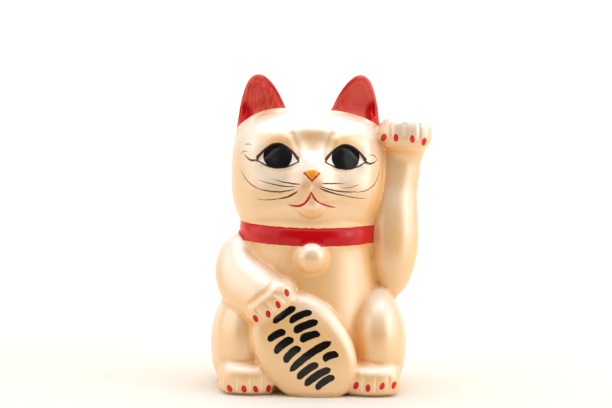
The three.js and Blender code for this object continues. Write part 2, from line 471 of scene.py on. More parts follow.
# %% [markdown]
# ## One skin
#
# In the mould all these volumes share one skin. A boolean union would leave knife-sharp
# seams between them. A voxel remesh pours an even new skin over everything, and a few rounds
# of smoothing soften the seams as slip and glaze do. The voxel is as small as the limit on
# triangles allows.

# %% Join and remesh
SKIN_VOXEL = 1.2
SKIN_SMOOTHING = 5


def finish_modifier(form, kind, **settings):
    """Adds a modifier with these settings and applies it at once."""
    modifier = form.modifiers.new(kind.lower(), kind)
    for name, value in settings.items():
        setattr(modifier, name, value)
    bpy.context.view_layer.objects.active = form
    bpy.ops.object.modifier_apply(modifier=modifier.name)


select_none()
parts = [trunk, raised_arm, lowered_arm, tail, *haunches, *feet, high_paw, low_paw, coin,
         head, *ears, collar, bell]
for part in parts:
    part.select_set(True)
bpy.context.view_layer.objects.active = trunk
bpy.ops.object.join()
cat = bpy.context.object
cat.name = "glazed_cat"
finish_modifier(cat, "REMESH", mode="VOXEL", voxel_size=SKIN_VOXEL * MM)
finish_modifier(cat, "SMOOTH", factor=0.5, iterations=SKIN_SMOOTHING)
print("skin faces:", len(cat.data.polygons))

# %% [markdown]
# ## Brows and eyeballs
#
# Now that the skin is even, the larger forms of the face are pressed again: the hollow
# between the brows, the bridge of the nose and the bulge of the eyeballs. Each is a point or
# a row of points, pressed in or pulled out by up to two millimetres.

# %% Brows and eyeballs
def in_box(place, box):
    """Whether a place, in metres, lies in a box, in millimetres."""
    return all(low <= n / MM <= high for n, low, high in zip(place, *box))


def wipe(form, box, rounds):
    """Smooths the points in a box, as a wet brush would."""
    make_active(form)
    bpy.ops.object.mode_set(mode="EDIT")
    bpy.ops.mesh.select_all(action="DESELECT")
    clay = bmesh.from_edit_mesh(form.data)
    for vertex in clay.verts:
        vertex.select = in_box(vertex.co, box)
    bmesh.update_edit_mesh(form.data)
    bpy.ops.mesh.vertices_smooth(factor=0.5, repeat=rounds)
    bpy.ops.object.mode_set(mode="OBJECT")


press(cat, [(-9, -29, 150), (0, -29, 150.5), (9, -29, 150)], (0, -0.6, 0), 9)
press(cat, [(-5, -38, 144), (0, -38, 141.5), (5, -38, 144)], (0, 1.2, 0), 9)
press(cat, (0, -40, 139), (0, 0.8, 0), 6)
press(cat, [(0, -42, 136), (0, -43, 131), (0, -44, 126)], (0, -0.45, 0), 5.5)
press_both(cat, (13, -39, 144), (0, -0.7, 0), 5)
press_both(cat, (19.3, -38, 133.2), (0, -1.8, 0), 10)
SMOOTH_BOXES = [((-13, -50, 137), (13, -20, 154)), ((9, -50, 124), (29, -20, 142)),
                ((-29, -50, 124), (-9, -20, 142))]
for box in SMOOTH_BOXES:
    wipe(cat, box, 8)
print("face, lowest y in mm:", round(min(v.co.y for v in cat.data.vertices) / MM, 1))

# %% [markdown]
# ## Flat underside
#
# The caster closes the base with a flat disc, so the skin is cut level with the ground and
# the cut is filled. Its edge is drawn in a little, as a sponge rounds it before firing.

# %% Flat underside
UNDERSIDE_SHARE = 0.975
UNDERSIDE_ROUNDING = 2.5
make_active(cat)
bpy.ops.object.mode_set(mode="EDIT")
bpy.ops.mesh.select_all(action="SELECT")
bpy.ops.mesh.bisect(plane_co=(0, 0, 0), plane_no=(0, 0, 1), use_fill=True, clear_inner=True,
                    threshold=1e-7)
bpy.ops.transform.resize(value=(UNDERSIDE_SHARE, UNDERSIDE_SHARE, 1),
                         center_override=(SEAT_SHIFT * MM, 0, 0),
                         use_proportional_edit=True, proportional_edit_falloff="SPHERE",
                         proportional_size=UNDERSIDE_ROUNDING * MM)
bpy.ops.object.mode_set(mode="OBJECT")
bpy.ops.object.shade_smooth()
print("underside at z, mm:", round(min(v.co.z for v in cat.data.vertices) / MM, 3))

# %% [markdown]
# ## A softer wrist
#
# The remesh leaves the lowered paw standing on the arm like a block. In the clay it would be
# wiped over with a wet brush, so the points around the wrist are smoothed some more. One soft
# crease then marks where the paw bends.

# %% Soft wrist
WRIST_BOX = ((-42, -60, 44), (-8, -30, 72))
WRIST_CREASE = [(-35, -50, 51.6), (-29.8, -51, 55.4), (-24.3, -51, 59.9), (-21.3, -48, 63.5)]
wipe(cat, WRIST_BOX, 20)
press(cat, WRIST_CREASE, (0, 0.6, 0), 3.4)

# %% [markdown]
# ## Where the folds are
#
# The shader paints a darker, warmer shade into the folds between the limbs and pale highlights
# along the narrow seams, so it has to know where those are. A copy of the cat is smoothed until its
# folds have filled up, and the distance from the cat to that copy says how deep in a fold each
# point lies. It is kept as an attribute, in millimetres.

# %% Measure the folds
WIDE_ROUNDS = 120
SEAM_ROUNDS = 10


def measure_folds(form, name, rounds):
    """Stores how far the form sinks below a copy smoothed for that many rounds."""
    make_active(form)
    bpy.ops.object.duplicate()
    filled = bpy.context.object
    finish_modifier(filled, "SMOOTH", factor=0.5, iterations=rounds)
    outward = np.empty(len(form.data.vertices) * 3)
    form.data.vertices.foreach_get("normal", outward)
    depth = ((positions(filled) - positions(form)) * outward.reshape(-1, 3)).sum(1) / MM
    fold = form.data.attributes.new(name, "FLOAT", "POINT")
    fold.data.foreach_set("value", depth)
    bpy.data.objects.remove(filled)
    print(name, "mm, from", round(depth.min(), 2), "to", round(depth.max(), 2))


measure_folds(cat, "wide_fold", WIDE_ROUNDS)
measure_folds(cat, "seam", SEAM_ROUNDS)

# %% [markdown]
# ## Finer clay for the face and paws
#
# The skin is even everywhere, but lips, lids and toes need more points than a back does. Only
# the fronts of the face, ears and paws are subdivided, which keeps the piece light.

# %% Finer fronts
FINE_BOXES = [
    ((-42, -60, 98), (42, -18, 150)),
    ((-42, -20, 148), (-8, -4, 180)),
    ((8, -20, 148), (42, -4, 180)),
    ((38, -32, 136), (70, -10, 158)),
    ((-42, -56, 38), (-6, -40, 66)),
    ((-53, -53, 0.5), (-17, -36, 14)),
    ((19, -53, 0.5), (54, -36, 14)),
]
make_active(cat)
bpy.ops.object.mode_set(mode="EDIT")
bpy.ops.mesh.select_all(action="DESELECT")
bpy.ops.mesh.select_mode(type="FACE")
clay = bmesh.from_edit_mesh(cat.data)
for face in clay.faces:
    middle = face.calc_center_median()
    face.select = face.normal.y < 0.3 and any(in_box(middle, box) for box in FINE_BOXES)
bmesh.update_edit_mesh(cat.data)
bpy.ops.mesh.subdivide(number_cuts=1)
bpy.ops.mesh.vertices_smooth(factor=0.5, repeat=2)
bpy.ops.mesh.select_mode(type="VERT")
bpy.ops.object.mode_set(mode="OBJECT")
print("triangles:", sum(len(face.vertices) - 2 for face in cat.data.polygons))

# %% [markdown]
# ## Lids, lips and toes
#
# These are the marks of a pointed modelling tool. The lids are drawn around the eyeballs, the
# nose and the two pads of the muzzle stand out a little, and the mouth and chin are grooves.
# Three short grooves part the toes of every paw.

# %% Lids, nose and mouth
LID_GROOVE = [(6.6, -42, 130.6), (9.5, -42, 134.6), (13, -42, 138.4), (19, -42, 140.6),
              (25, -41, 138.2), (29, -40, 134.2), (32.5, -38, 130.6)]
LOWER_LID_GROOVE = [(8, -42, 129.4), (13, -42, 126.8), (19, -42, 125.7), (25, -41, 126.8),
                    (30, -40, 129.4)]
MOUTH_GROOVE = [(0, -45, 113.6), (1.4, -45, 110.4), (4.6, -45, 107.4), (9, -44, 105.8),
                (13, -43, 105.6)]
CHIN_GROOVE = [(9.2, -42, 103.9), (6.4, -42, 101.7), (3.4, -42, 100.2), (0, -42, 99.8),
               (-3.4, -42, 100.2), (-6.4, -42, 101.7), (-9.2, -42, 103.9)]
BROW_CREASE = [(11.4, -36, 147), (10, -37, 144.6), (8.7, -38, 141.4), (7.8, -39, 138),
               (7.2, -40, 134)]
press_both(cat, BROW_CREASE, (0, 0.65, 0), 3.2)
press_both(cat, LID_GROOVE, (0, 0.45, 0), 1.7)
press_both(cat, LOWER_LID_GROOVE, (0, 0.3, 0), 1.5)
press(cat, (0, -46, 122.8), (0, -0.9, 0), 5)
press_both(cat, (5.2, -45, 115), (0, -0.8, 0), 6.5)
press(cat, [(0, -46, 118), (0, -46, 116), (0, -46, 114)], (0, -0.35, 0), 1.4)
press_both(cat, MOUTH_GROOVE, (0, 0.6, 0), 2)
press(cat, (0, -44, 105.2), (0, -0.9, 0), 6)
press(cat, CHIN_GROOVE, (0, 0.85, 0), 3.2)

# %% Toes and ear rims
TOE_GROOVES = [
    [(44.7, -25, 152.5), (44.7, -26, 149), (44.7, -26, 145)],
    [(52.3, -27, 152.5), (52.3, -28, 149), (52.4, -28, 144.5)],
    [(60.4, -26, 152), (60.5, -27, 148), (60.5, -27, 143.5)],
    [(-39.9, -49, 9.5), (-39.8, -49.5, 6), (-39.6, -49.5, 2.5)],
    [(-32.6, -50, 9.5), (-32.5, -50, 6), (-32.4, -50, 2.5)],
    [(-25.8, -48, 9.5), (-25.8, -48.5, 6), (-25.7, -48.5, 2.5)],
    [(29.8, -49, 11), (29.8, -49.5, 7), (29.9, -49.5, 3)],
    [(37, -50, 11), (37, -50, 7), (37, -50, 3)],
    [(44.4, -48, 11), (44.4, -48.5, 7), (44.4, -48.5, 3)],
    [(-13, -50, 53), (-16, -51.5, 55.3), (-19, -51.5, 57.5)],
    [(-18.3, -51, 47.8), (-21.2, -52.5, 50.2), (-24, -52, 52.5)],
    [(-24.6, -50, 43.6), (-27.2, -51.5, 46.2), (-30, -51, 48.6)],
]
EAR_RIM = [(15.5, -12, 160), (18.6, -12, 166), (23.4, -12, 171.6), (28.4, -12, 175.2),
           (32, -12, 175), (35.2, -12, 170.6), (37.4, -12, 163.5), (38.6, -12, 156)]
LEFT_EAR_RIM = [(x - LEFT_EAR_INSET, y, z + LEFT_EAR_LIFT) for x, y, z in EAR_RIM]
GROOVE_PULL = (0, 0.5, 0)
GROOVE_REACH = 1.5
for groove in [*TOE_GROOVES, mirrored(EAR_RIM), LEFT_EAR_RIM]:
    press(cat, groove, GROOVE_PULL, GROOVE_REACH)

# %% Wipe the face
# A last wipe takes the lumps out of the grooves.
FACE_BOX = ((-42, -60, 98), (42, -18, 152))
wipe(cat, FACE_BOX, 3)
print("face wiped, lowest y in mm:", round(min(v.co.y for v in cat.data.vertices) / MM, 1))

# %% [markdown]
# ## A bench for mixing finishes
#
# A finish is a tree of nodes. Written as Python arithmetic it stays readable: `Wire` wraps
# the output of a node, and adding or multiplying wires adds Math nodes, or Vector Math nodes
# where a vector takes part. Every other node comes from one method, which takes the node's
# type, its settings and its inputs.

# %% The bench
class Wire:
    """An output of a node. Arithmetic on it adds nodes to the same finish."""

    def __init__(self, bench, socket):
        self.bench = bench
        self.socket = socket

    def does(self, operation, *others, output=0, **settings):
        values = (self, *others)
        vectors = [isinstance(v, tuple) or isinstance(v, Wire) and v.socket.type == "VECTOR"
                   for v in values]
        kind = "ShaderNodeVectorMath" if any(vectors) else "ShaderNodeMath"
        return self.bench.node(kind, {"operation": operation, **settings},
                               dict(enumerate(values)), output)

    def __add__(self, other):
        return self.does("ADD", other)

    def __sub__(self, other):
        return self.does("SUBTRACT", other)

    def __rsub__(self, other):
        return self.does("MULTIPLY_ADD", -1, other)

    def __mul__(self, other):
        return self.does("MULTIPLY", other)

    def __truediv__(self, other):
        return self.does("DIVIDE", other)

    def __pow__(self, other):
        return self.does("POWER", other)

    __radd__ = __add__
    __rmul__ = __mul__

    def times_plus(self, factor, addend):
        return self.does("MULTIPLY_ADD", factor, addend)

    def size(self):
        return self.does("ABSOLUTE")

    def length(self):
        return self.does("LENGTH", output=1)

    def larger(self, other):
        return self.does("MAXIMUM", other)

    def smaller(self, other):
        return self.does("MINIMUM", other)

    def over(self, edge, blur):
        """1 where the value is over the edge, 0 where it is under, soft across the blur."""
        return self.does("MULTIPLY_ADD", 1 / blur, 0.5 - edge / blur, use_clamp=True)

    def under(self, edge, blur):
        return self.does("MULTIPLY_ADD", -1 / blur, 0.5 + edge / blur, use_clamp=True)

    def parts(self):
        """The x, y and z of a vector."""
        split = self.bench.node("ShaderNodeSeparateXYZ", {}, {0: self}).socket.node
        return [Wire(self.bench, socket) for socket in split.outputs]


class Bench:
    """The nodes of a material or of the world, and the shader that they feed."""

    def __init__(self, owner, shader="Principled BSDF"):
        self.owner = owner
        owner.use_nodes = True
        self.tree = owner.node_tree
        self.shader = self.tree.nodes[shader]

    def connect(self, value, socket):
        if isinstance(value, Wire):
            self.tree.links.new(value.socket, socket)
        elif socket.type == "RGBA":
            socket.default_value = (*value, 1)
        elif socket.type == "VECTOR" and not isinstance(value, tuple):
            socket.default_value = (value, value, value)
        else:
            socket.default_value = value

    def node(self, kind, settings=None, inputs=None, output=0):
        """Adds a node, sets it up, connects its inputs and returns one output as a Wire."""
        node = self.tree.nodes.new(kind)
        for name, value in (settings or {}).items():
            setattr(node, name, value)
        for key, value in (inputs or {}).items():
            self.connect(value, node.inputs[key])
        return Wire(self, node.outputs[output])

    def mix(self, share, first, second):
        """The first colour where share is 0 and the second where it is 1."""
        return self.node("ShaderNodeMix", {"data_type": "RGBA"},
                         {"Factor": share, 6: first, 7: second}, output=2)

    def noise(self, place, scale, detail=2.0, output="Fac"):
        return self.node("ShaderNodeTexNoise", {},
                         {"Vector": place, "Scale": scale, "Detail": detail}, output)

    def attribute(self, name):
        return self.node("ShaderNodeAttribute", {"attribute_name": name}, output="Fac")

    def finish(self, **sockets):
        """Sets or connects the sockets of the shader, named with underscores for blanks."""
        for name, value in sockets.items():
            self.connect(value, self.shader.inputs[name.replace("_", " ")])
        return self.owner


# %% [markdown]
# ## The places on the cat
#
# The painter works on the finished white body, so the paint is placed in millimetres on the
# cat, from its Object coordinates. Nearly all of it is seen from the front, where only x and
# z count. A wobble of a few tenths of a millimetre gives every edge the unsteadiness of a
# hand with a brush.

# %% Places
glaze = Bench(bpy.data.materials.new("pearl_glaze"))
texture = glaze.node("ShaderNodeTexCoord", output="Object")
place = texture * (1 / MM)
x, y, z = place.parts()
outward = Wire(glaze, texture.socket.node.outputs["Normal"])
face_up = outward.parts()[2]

WOBBLE_SCALE = 0.3
WOBBLE = 0.7
wobble = glaze.noise(place, WOBBLE_SCALE, output="Color")
drawn_x, drawn_y, drawn_z = (place + (glaze.node(
    "ShaderNodeVectorMath", {"operation": "SUBTRACT"}, {0: wobble, 1: 0.5}) * WOBBLE)).parts()
front = y.under(-9, 1)
EDGE = 0.18

# %% [markdown]
# ## Brush strokes
#
# A whisker or the line of a lip is one stroke of a pointed brush. It could be a picture, but
# a picture blurs when one comes close. Here a stroke is a bow through three points. In the
# bow's own frame, `share` runs from -1 to 1 along it, and the stroke is the set of places
# nearer to the bow than a width that tapers off at both ends. A vector holds three numbers,
# so three strokes are worked out at once.

# %% Strokes and spots
THIN = 0.02


def in_threes(shapes):
    """The shapes in groups of three. The last one fills up the last group."""
    for first in range(0, len(shapes), 3):
        group = shapes[first:first + 3]
        yield group + group[-1:] * (3 - len(group))


def along(middles, axes, lengths):
    """Where a place lies along the axes of three shapes, from their middles, in lengths."""
    slopes = axes / lengths[:, None]
    starts = -(middles * slopes).sum(1)
    return drawn_x.times_plus(tuple(slopes[:, 0]),
                              drawn_z.times_plus(tuple(slopes[:, 1]), tuple(starts)))


def largest(shares):
    """The largest of the parts of several vectors."""
    nearest = shares[0]
    for share in shares[1:]:
        nearest = nearest.larger(share)
    first, second, third = nearest.parts()
    return first.larger(second).larger(third)


def brush(lines, blunt=False):
    """How far a place lies inside the nearest brush stroke, in millimetres.

    A line is its start, a point on the way, its end, and its widths towards both ends. A
    blunt stroke keeps its width almost to the end."""
    depths = []
    for group in in_threes(lines):
        starts, ways, ends = (np.array([line[i] for line in group]) for i in range(3))
        first_width, last_width = np.array([line[3:] for line in group]).T / 4
        middles = (starts + ends) / 2
        lengths = np.linalg.norm(ends - starts, axis=1) / 2
        axes = (ends - middles) / lengths[:, None]
        normals = np.stack([-axes[:, 1], axes[:, 0]], axis=1)
        ways = ways - middles
        bow = (ways * normals).sum(1) / (1 - ((ways * axes).sum(1) / lengths) ** 2)
        share = along(middles, axes, lengths)
        square = share * share
        off_chord = along(middles + normals * bow[:, None], normals, np.ones(3))
        off_bow = square.times_plus(tuple(bow), off_chord).size()
        width = share.times_plus(tuple(last_width - first_width), tuple(first_width + last_width))
        taper = square * square
        if blunt:
            taper = taper * taper
        depths.append((1 - taper) * width.larger(THIN) - off_bow)
    return largest(depths)


def ovals(spots):
    """How far a place lies inside the nearest oval, from 1 in its middle to 0 at its rim.

    A spot is its x and z, its half width and half height, and its lean in degrees."""
    depths = []
    for group in in_threes(spots):
        middles, halves = (np.array([spot[i:i + 2] for spot in group]) for i in (0, 2))
        leans = np.radians([spot[4] for spot in group])
        axes = np.stack([np.cos(leans), np.sin(leans)], axis=1)
        normals = np.stack([-axes[:, 1], axes[:, 0]], axis=1)
        across = along(middles, axes, halves[:, 0])
        up = along(middles, normals, halves[:, 1])
        depths.append(1 - across.times_plus(across, up * up))
    return largest(depths)


# %% [markdown]
# ## Eyes
#
# The eyes are black pools of gloss paint with a cream corner on either side. Both lids are
# drawn with a brush, the upper one bolder. One formula serves both eyes, because `face_x`
# counts from the middle of the face to either side.

# %% Eyes
EYE_MIDDLE = 19.0
EYE_HALF = 11.9
FACE_MIDDLE = -0.2
LID_CORNER = 130.6
UPPER_LID = 9.0
UPPER_BOW = 1.15
LOWER_LID = 4.3
UPPER_LINE = 0.5
UPPER_LINE_GROWTH = 1.1
LOWER_LINE = 0.5
IRIS = (8.0, 7.8)
IRIS_HEIGHT = 132.9

face_x = (drawn_x - FACE_MIDDLE).size()
eye_share = (face_x - EYE_MIDDLE) / EYE_HALF
lid_bow = (1 - eye_share * eye_share).larger(0)
over_lid = drawn_z - (lid_bow ** UPPER_BOW).times_plus(UPPER_LID, LID_CORNER)
over_lower_lid = drawn_z + lid_bow.times_plus(LOWER_LID, -LID_CORNER)
opening = over_lower_lid.smaller(over_lid * -1).over(0, EDGE)
iris_x = (face_x - EYE_MIDDLE) / IRIS[0]
iris_z = (drawn_z - IRIS_HEIGHT) / IRIS[1]
iris = iris_x.times_plus(iris_x, iris_z * iris_z).under(1, 2 * EDGE / IRIS[0]).smaller(opening)
at_eye = eye_share.size().under(1.0, 0.03)
line_half = (eye_share * eye_share).times_plus(UPPER_LINE_GROWTH, UPPER_LINE)
upper_line = (line_half - (over_lid - UPPER_LINE / 2).size()).over(0, EDGE)
lower_line = over_lower_lid.size().under(LOWER_LINE, EDGE)
lid_lines = upper_line.larger(lower_line) * at_eye

# %% [markdown]
# ## Lashes, whiskers, nose and mouth
#
# The outer corner of each eye runs out into a curled lash. The whiskers start bold beside the
# nose and end in a hair line, and the longest ones curl up to the lashes. All of these are in
# one dark brown. The mouth is drawn in red, and it is bolder on one side, as the brush left
# it. The nose is a yellow wedge with a red line along its two lower sides.

# %% Dark lines
LASHES = [
    ((-29.6, 130.9), (-35.0, 130.4), (-38.2, 134.3), 1.7, 0.4),
    ((-39.5, 132.9), (-38.0, 134.9), (-35.5, 133.9), 0.5, 0.4),
    ((-37.6, 137.9), (-36, 138.9), (-33.8, 137.9), 0.5, 0.4),
    ((29.2, 131.0), (33.8, 129.5), (37.6, 131.8), 1.8, 0.5),
    ((31.4, 133.7), (34.4, 134.2), (37.0, 130.8), 0.45, 0.45),
]
WHISKERS = [
    ((-6.3, 117.8), (-13.3, 118.3), (-22.4, 120.3), 1.1, 0.3),
    ((-8.0, 116.5), (-19.0, 116.8), (-30.8, 119.9), 0.8, 0.35),
    ((-8.9, 115.3), (-19.5, 113.1), (-31.0, 115.0), 0.9, 0.6),
    ((-28.5, 114.0), (-35.9, 118.5), (-39.5, 124.5), 0.7, 0.35),
    ((-7.7, 114.2), (-12.6, 110.9), (-20.5, 109.0), 1.3, 0.6),
    ((-17.5, 109.5), (-24, 108.3), (-31.2, 108.7), 0.6, 0.3),
    ((4.9, 118.7), (9.9, 118.5), (18.9, 118.5), 1.2, 0.25),
    ((16.5, 116.2), (21.5, 116.2), (26.9, 117.9), 0.3, 0.45),
    ((3.8, 117.3), (15, 114.2), (25.7, 113.9), 1.0, 0.6),
    ((23.2, 113.7), (35.5, 117.5), (39.2, 127.5), 0.7, 0.35),
    ((3.6, 116.2), (11.4, 113.3), (20.3, 111.2), 1.3, 0.6),
    ((17, 111.9), (24, 110.5), (31, 109.9), 0.6, 0.3),
]
dark_lines = brush(LASHES + WHISKERS).over(0, EDGE).larger(lid_lines) * front

# %% Mouth and nose
MOUTH = [
    ((-0.4, 114.2), (-1.6, 110.4), (-4.8, 106.4), 1.0, 1.5),
    ((-2.6, 107.9), (-8.0, 105.5), (-13.6, 106.5), 2.0, 0.7),
    ((-0.4, 114.2), (1.3, 110.2), (5.6, 107.0), 1.0, 1.3),
    ((3.6, 108.1), (8.6, 106.1), (14.2, 104.8), 1.4, 0.6),
]
NOSE_TIP = (-0.3, 119.1)
NOSE_CORNER = (4.6, 124.1)
NOSE_TOP = 126.0
NOSE_LINE = 1.1

nose_x = (drawn_x - NOSE_TIP[0]).size()
nose_run = NOSE_CORNER[0] - NOSE_TIP[0]
nose_rise = NOSE_CORNER[1] - NOSE_TIP[1]
over_sides = (drawn_z - NOSE_TIP[1] - nose_x * (nose_rise / nose_run)) * math.cos(
    math.atan2(nose_rise, nose_run))
under_top = nose_x * nose_x * ((NOSE_CORNER[1] - NOSE_TOP) / nose_run ** 2) + NOSE_TOP - drawn_z
nose = over_sides.smaller(under_top)
nose_yellow = nose.smaller(over_sides - NOSE_LINE).over(0, EDGE) * front
nose_red = nose.over(0, EDGE) * front - nose_yellow
mouth = brush(MOUTH)

# %% [markdown]
# ## Claws
#
# Four red drops of paint mark the claws on each paw. Each drop leans with its finger.

# %% Claws
CLAW_HALF = (1.4, 2.25)
HIGH_PAW_CLAWS = [(40.9, 144.0, -12), (47.4, 144.1, 5), (56.6, 143.6, 8), (63.5, 142.1, -10)]
LOW_PAW_CLAWS = [(-13.0, 58.2, 20), (-17.8, 51.6, 22), (-23.1, 46.3, 10), (-30.0, 43.4, 24)]
FOOT_CLAWS = [(-43.6, 3.9, 28), (-35.7, 4.2, 15), (-29.2, 4.0, 25), (-22.1, 4.0, -5),
              (26.5, 6.6, -15), (33.1, 5.6, 0), (40.9, 6.7, -20), (47.8, 7.0, -22)]
claws = ovals([(at_x, at_z, *CLAW_HALF, lean)
               for at_x, at_z, lean in HIGH_PAW_CLAWS + LOW_PAW_CLAWS + FOOT_CLAWS])
claws = claws.over(0, EDGE)

# %% [markdown]
# ## Ears and collar
#
# Only the hollow front of each ear is red, down to a curved edge on the forehead. The collar is red
# all the way round. The lower outer corners of the ears are painted a deeper red, as painted shade.

# %% Ears and collar
EAR_EDGES = {"right": [(-14.7, 159.3), (-29, 156.9), (-40.5, 149.4)],
             "left": [(10.4, 158.6), (22, 157.2), (36.5, 151.8)]}
EAR_FRONT = 5.6
EAR_LEAN = 0.07
EAR_BASE = 150.0
EAR_GAP = 6.0
EAR_OUTER = 39.2


def over_edge(points):
    """How far a place lies over the circle through three points, in millimetres."""
    (ax, az), (bx, bz), (cx, cz) = points
    sides = np.array([[bx - ax, bz - az], [cx - ax, cz - az]])
    centre = np.linalg.solve(2 * sides, [bx ** 2 - ax ** 2 + bz ** 2 - az ** 2,
                                         cx ** 2 - ax ** 2 + cz ** 2 - az ** 2])
    radius = math.hypot(ax - centre[0], az - centre[1])
    return ((place - (centre[0], 0, centre[1])) * (1, 0, 1)).length() - radius


ear_side = (over_edge(EAR_EDGES["right"]).over(0, EDGE) * x.under(-EAR_GAP, 1)
            + over_edge(EAR_EDGES["left"]).over(0, EDGE) * x.over(EAR_GAP, 1))
ear_front = (drawn_y + (z - EAR_BASE) * EAR_LEAN).under(-EAR_FRONT, EDGE * 2)
ear_red = ear_side * ear_front * z.over(EAR_BASE - 4, 1) * x.under(EAR_OUTER, EDGE)

COLLAR_REACH = 1.035
collar_scale = (1 / (NECK_HALF[0] + COLLAR_PROUD), 1 / (NECK_HALF[1] + COLLAR_PROUD), 0)
neck_share = ((place - (0, NECK_MIDDLE_Y, 0)) * collar_scale).length()
collar_height = drawn_z - (y - NECK_MIDDLE_Y) * math.tan(COLLAR_DIP)
COLLAR_EDGES = (COLLAR_LOW + 0.1, COLLAR_HIGH + 0.45)
collar_red = (collar_height.over(COLLAR_EDGES[0], EDGE)
              * collar_height.under(COLLAR_EDGES[1], EDGE)
              * neck_share.under(COLLAR_REACH, 0.01))
EAR_RIM_STROKES = [
    ((-14.4, 158.6), (-20.3, 169.6), (-29.5, 178.4), 2.2, 1.8),
    ((10.8, 158.2), (17.2, 169.6), (27.6, 178.8), 2.2, 1.8),
]
# Painted shade: spots of deeper red in the lower outer corners of the ears.
EAR_CORNER_SPOTS = [(-37.5, 155, 5.5, 9, 14), (34.6, 157.5, 4.6, 9, -8)]
rim_red = brush(EAR_RIM_STROKES).over(0, EDGE * 2)
ear_corner_shade = ovals(EAR_CORNER_SPOTS).over(0.4, 0.6)
red = (mouth.over(0, EDGE).larger(claws) * front).larger(nose_red)
red = red.larger(ear_red).larger(collar_red)

# %% [markdown]
# ## Brush strokes on the coin
#
# The coin carries bold black brush strokes, one row below the other. Here they are plain
# strokes in the same place and of the same weight, and they don't form letters. Each one is
# given on the coin, as millimetres across and up it, and is then turned with the coin.

# %% Strokes on the coin
COIN_STROKES = [
    ((-4.4, 23.4), (3.4, 23.2), (10.8, 22.4), 3.6, 4.2),
    ((3.0, 18.0), (10, 17.3), (16.4, 14.6), 4.2, 3.6),
    ((-12.6, 17.4), (-7, 17.0), (-1.4, 15.6), 4.0, 4.4),
    ((1.6, 12.6), (8.5, 11.3), (15.8, 8.4), 4.6, 4.2),
    ((-14.0, 9.6), (-7, 10.7), (-0.6, 9.7), 4.0, 4.9),
    ((1.4, 6.6), (6.8, 5.6), (12.6, 2.4), 4.9, 4.0),
    ((-13.0, 2.4), (-6, 4.0), (-0.4, 3.6), 4.2, 4.6),
    ((-13.6, -3.6), (0, -2.6), (14.8, -4.9), 4.2, 4.6),
    ((-12.8, -9.4), (-5, -8.7), (1.8, -9.8), 4.2, 4.6),
    ((4.8, -9.6), (9, -10.2), (13.6, -12.8), 4.6, 4.0),
    ((-12.0, -14.8), (-3, -14.5), (5.4, -16.4), 4.2, 4.6),
    ((-8.4, -20.2), (-2, -19.7), (4.4, -21.2), 4.0, 4.4),
]


def on_coin(point):
    """The x and z of a place that is given across and up the coin."""
    across, up = point
    return (COIN_MIDDLE[0] + across * math.cos(COIN_TILT) - up * math.sin(COIN_TILT),
            COIN_MIDDLE[2] + across * math.sin(COIN_TILT) + up * math.cos(COIN_TILT))


ink = brush([(*(on_coin(point) for point in stroke[:3]), *stroke[3:])
             for stroke in COIN_STROKES], blunt=True)
ink = ink.over(0, EDGE * 1.5) * front

# %% [markdown]
# ## The pearl glaze
#
# The body has a champagne base with a pearl film over it. Painted highlights make it almost white
# where it faces up, on the cheeks, on the bridge of the nose and on top of the raised paw. Painted
# shade in amber darkens the folds, the brows, the lids, the muzzle pads, the chin and the wrist,
# while painted light keeps the jaw and the neck above the collar a light tan. Painted highlights
# also draw pale lines along the narrow seams, the toes and the philtrum.

# %% Glaze colours, painted light and painted shade
# CHAMPAGNE is the glaze's own colour. The others stand in for light and shade: the pearl white is a
# painted highlight, the amber and the lid tan are painted shade, the light tan is painted light,
# and the pale seam colour is a painted highlight.
CHAMPAGNE = (0.90, 0.51, 0.17)
PEARL_HIGHLIGHT = (0.96, 0.86, 0.73)
SHADE_AMBER = (0.84, 0.40, 0.10)
LID_SHADE_TAN = (0.98, 0.54, 0.18)
LIT_TAN = (1.0, 0.63, 0.28)
SEAM_HIGHLIGHT = (0.98, 0.90, 0.78)
# Spots of painted shade between the brows, at the top of the nose and on both muzzle pads.
SHADE_SPOTS = [
    (0, 143.5, 10, 7, 0),
    (0, 140, 6.5, 8, 0),
    (-5.5, 114.5, 7, 5.5, 0),
    (5.5, 114.5, 7, 5.5, 0),
]
# Painted shade above both lids, in a lighter tan.
LID_SHADE_SPOTS = [(-19.5, 141.5, 14, 6.5, -4), (19.5, 141.5, 14, 6.5, 4)]
# Painted highlights: pale lines along the toe grooves and down the philtrum. The narrow seams get
# the same pale colour below.
TOE_HIGHLIGHTS = [((first[0], first[2]), (way[0], way[2]), (last[0], last[2]), 0.5, 0.9)
             for first, way, last in TOE_GROOVES]
PHILTRUM = ((-0.4, 118.6), (-0.4, 116.6), (-0.4, 114.4), 1.0, 0.8)
highlight_lines = brush(TOE_HIGHLIGHTS + [PHILTRUM]).over(0, 0.6) * front
# Painted shade along the fold between the lowered arm and the chest, beside the brow creases, under
# the chin and at the wrist.
ARM_SHADES = [((-38.5, 80.5), (-27, 73.6), (-12.5, 62), 6.0, 3.5)]
BROW_SHADE_LINES = [((side * 12.2, 148.8), (side * 9.2, 142.6), (side * 7.0, 133), 1.2, 0.8)
                for side in (-1, 1)]
CHIN_LINE = ((-7.4, 102.0), (0, 99.2), (7.4, 102.0), 2.4, 2.4)
WRIST_LINE = ((-35.5, 51.2), (-28.2, 56.2), (-21.3, 63.8), 1.6, 1.6)
crease_shade = brush(BROW_SHADE_LINES + [CHIN_LINE, WRIST_LINE]).over(-0.3, 2.4) * front
crease_shade = crease_shade.larger(brush(ARM_SHADES).over(0.6, 3) * front)
# Painted highlights on both cheeks, on the bridge of the nose and on top of the raised paw.
HIGHLIGHT_SPOTS = [(-21, 121.5, 17, 9, -8), (20, 122, 15, 7.5, 8), (0, 129.5, 5.5, 7, 0),
              (54, 153, 22, 11, 0)]
spot_highlight = ovals(HIGHLIGHT_SPOTS).larger(0) * front
